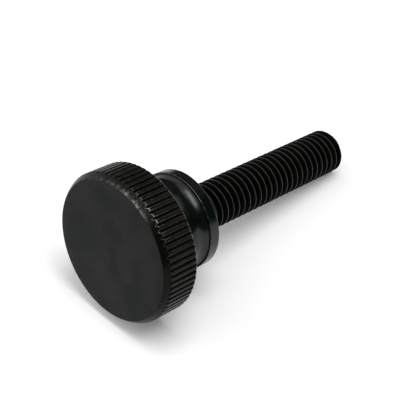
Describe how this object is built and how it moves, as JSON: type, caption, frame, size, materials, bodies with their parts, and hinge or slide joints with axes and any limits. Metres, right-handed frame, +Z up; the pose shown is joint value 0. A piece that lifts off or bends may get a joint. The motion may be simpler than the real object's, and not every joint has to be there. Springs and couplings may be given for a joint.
{
  "type": "knurled thumb screw",
  "caption": "Round knurled head on a short neck that flares to a collar, and a metric thread, all one turned piece of blackened steel, lying on its side",
  "frame": {"origin": "bottom centre of the bounding box, on the floor the screw lies on", "axes": "+Z up; the screw's axis lies over +X, from the head to the thread's tip, sloping down to the tip; +Y is across the screw"},
  "size_m": [0.0404, 0.0184, 0.0189],
  "materials": {
    "blackened_steel": "satin black oxide"
  },
  "bodies": {
    "root": {"thumb_screw": "blackened_steel"}
  },
  "joints": []
}
